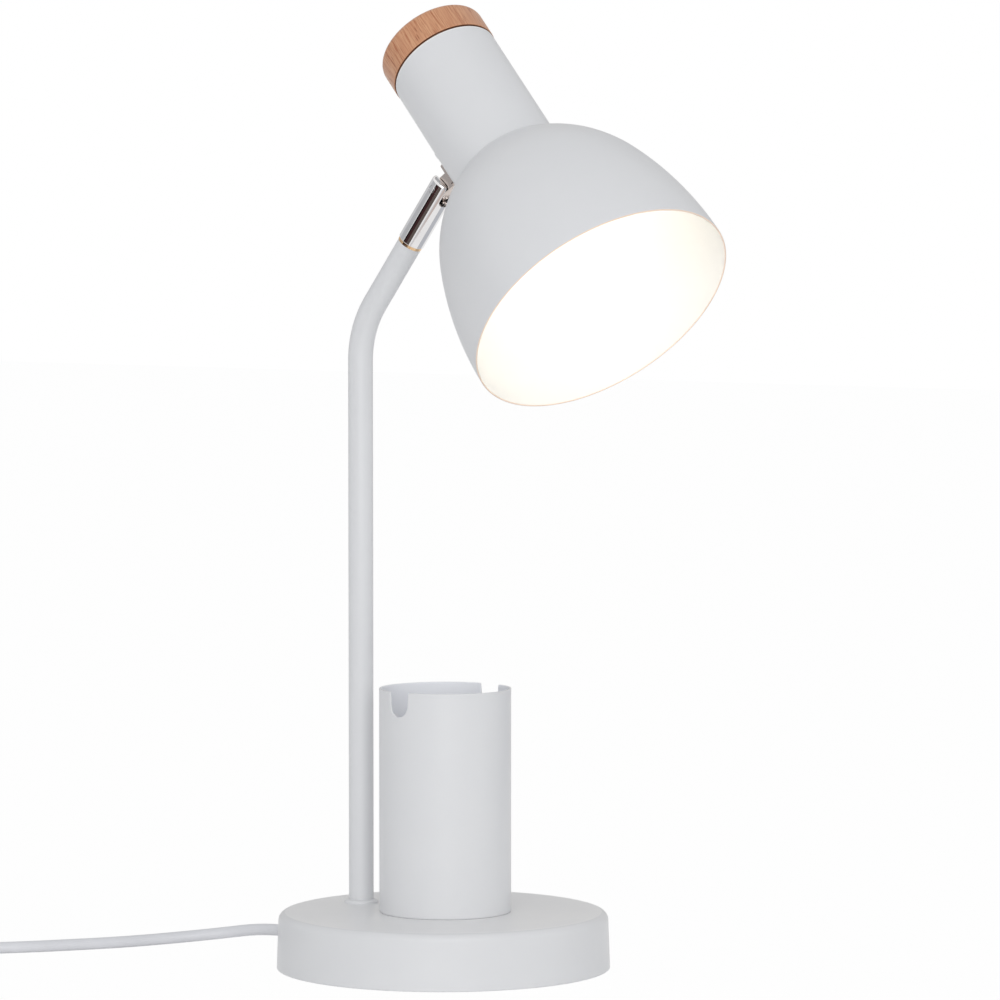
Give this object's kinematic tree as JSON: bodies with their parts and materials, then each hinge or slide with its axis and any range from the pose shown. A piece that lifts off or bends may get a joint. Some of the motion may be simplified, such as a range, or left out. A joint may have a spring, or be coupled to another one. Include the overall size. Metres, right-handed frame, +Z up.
{
  "type": "desk lamp with pen holder",
  "caption": "White desk lamp: round weighted base with a notched pen cup, bent stem, swivel and tilt knuckle, wide dome shade with a wooden cap, and a lead with switch and plug.",
  "frame": {"origin": "centre of the base's underside, on the face that rests on the desk", "axes": "+Z up, +X to the side that the arm leans to, +Y to the left of that side"},
  "size_m": [0.5726, 0.2102, 0.4605],
  "materials": {
    "powder_coat": "matt light grey-white powder coat",
    "inner_coat": "matt white",
    "wood": "clear lacquered beech",
    "chrome": "polished",
    "brass": "turned",
    "steel": "zinc plated",
    "iron": "as cast",
    "pad": "soft foam",
    "cord": "matt PVC",
    "fitting": "fine matt",
    "holder": "glazed white",
    "blue_wire": "PVC insulation",
    "brown_wire": "PVC insulation",
    "sleeve": "moulded sleeve",
    "washer": "nylon",
    "bulb": "frosted opal"
  },
  "bodies": {
    "base": {"base_shell": "powder_coat", "base_weight": "iron", "bottom_plate": "steel", "bottom_plate_screws": "steel", "base_pad": "pad", "stem": "powder_coat", "stem_collar": "powder_coat", "stem_nipple": "steel", "stem_washer": "steel", "stem_nut": "steel", "pen_cup": "powder_coat", "cup_screw": "steel", "cup_nut": "steel", "cord_bushing": "fitting", "cord_inner_end": "cord", "cord_clamp": "fitting", "clamp_screws": "steel", "stem_wire_brown": "brown_wire", "stem_wire_blue": "blue_wire", "knuckle_nipple": "brass", "cord_base_run": "cord", "switch_lower": "fitting", "switch_upper": "fitting", "switch_screws": "steel", "switch_terminals": "brass", "switch_contact": "brass", "switch_cord_ends": "cord", "cord_switch_run": "cord", "cord_coil": "cord", "cord_tie": "sleeve", "cord_plug_run": "cord", "plug_body": "fitting", "plug_pins": "brass", "plug_sleeves": "sleeve"},
    "barrel": {"knuckle_barrel": "chrome", "swivel_grub_screw": "steel", "knuckle_pin": "steel", "friction_washers": "washer"},
    "head": {"knuckle_bracket": "chrome", "bracket_screws": "steel", "neck_tube": "powder_coat", "neck_saddle": "steel", "side_screws": "powder_coat", "neck_disc": "steel", "wood_cap": "wood", "wood_cap_screws": "steel", "shade": "powder_coat", "holder_body": "holder", "shade_ring": "holder", "holder_dome": "holder", "contact_insert": "holder", "screw_shell": "brass", "centre_contact": "brass", "tube_nipple": "steel", "tube_nut": "steel", "head_wires": "brown_wire", "bulb_globe": "bulb", "bulb_collar": "holder", "bulb_cap": "steel"},
    "rocker": {"switch_rocker": "sleeve"}
  },
  "joints": [
    {"name": "knuckle_swivel", "type": "hinge", "parent": "base", "child": "barrel", "pos_m": [-0.01937, 0, 0.34798], "axis": [0.599, 0, 0.8007], "range_deg": [-140, 159]},
    {"name": "head_tilt", "type": "hinge", "parent": "barrel", "child": "head", "pos_m": [-0.0011, 0, 0.3724], "axis": [0.1271, 0.9873, -0.095], "range_deg": [-60, 45]},
    {"name": "switch_rocker", "type": "hinge", "parent": "base", "child": "rocker", "pos_m": [-0.29148, -0.04822, 0.0108], "axis": [0.7878, 0.6159, 0], "range_deg": [-14, 0]}
  ]
}
